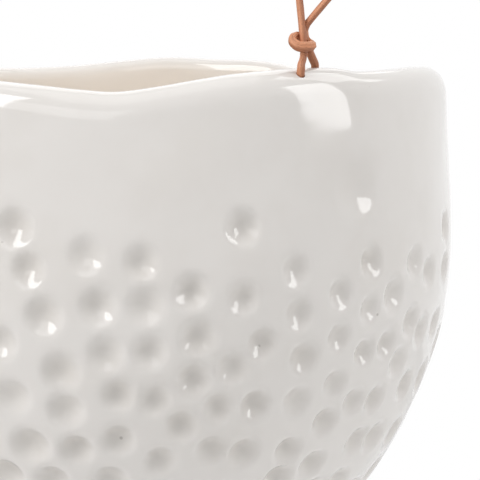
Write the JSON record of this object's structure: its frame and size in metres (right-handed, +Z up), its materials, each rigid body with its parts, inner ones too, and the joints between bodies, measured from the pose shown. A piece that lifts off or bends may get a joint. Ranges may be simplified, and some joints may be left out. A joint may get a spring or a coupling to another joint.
{
  "type": "hanging planter",
  "caption": "Round-bellied glazed stoneware planter with a wavy rolled rim, tied by a leather lace through holes in its lip and hung from a plain metal ring.",
  "frame": {"origin": "Inside the top of the hanging ring, where a hook bears.", "axes": "+Z up. The lace hole at the front of the pot lies on +X, the opposite one on -X; the ring stands in the YZ plane."},
  "size_m": [0.209, 0.2, 0.343],
  "materials": {
    "glaze": "glossy white glaze",
    "lace": "smooth tan leather",
    "ring": "plain metal"
  },
  "bodies": {
    "ring": {"hanging_ring": "ring"},
    "hanger": {"hanger_run_right": "lace", "hanger_run_left": "lace", "top_knot": "lace", "lace_bight": "lace", "rim_knot_right": "lace", "rim_knot_left": "lace", "lace_tail_right": "lace", "lace_tail_left": "lace"},
    "pot": {"pot_body": "glaze", "hole_loop_right": "lace", "hole_loop_left": "lace"}
  },
  "joints": [
    {"name": "ring_swing", "type": "hinge", "parent": "ring", "child": "hanger", "pos_m": [0, 0, -0.0315], "axis": [0, 1, 0], "range_deg": [-20, 20]},
    {"name": "pot_tilt", "type": "hinge", "parent": "hanger", "child": "pot", "pos_m": [0, 0, -0.18635], "axis": [0.9981, 0.0567, 0.0245], "range_deg": [-20, 20], "deforming": ["hole_loop_right", "hole_loop_left"]}
  ]
}
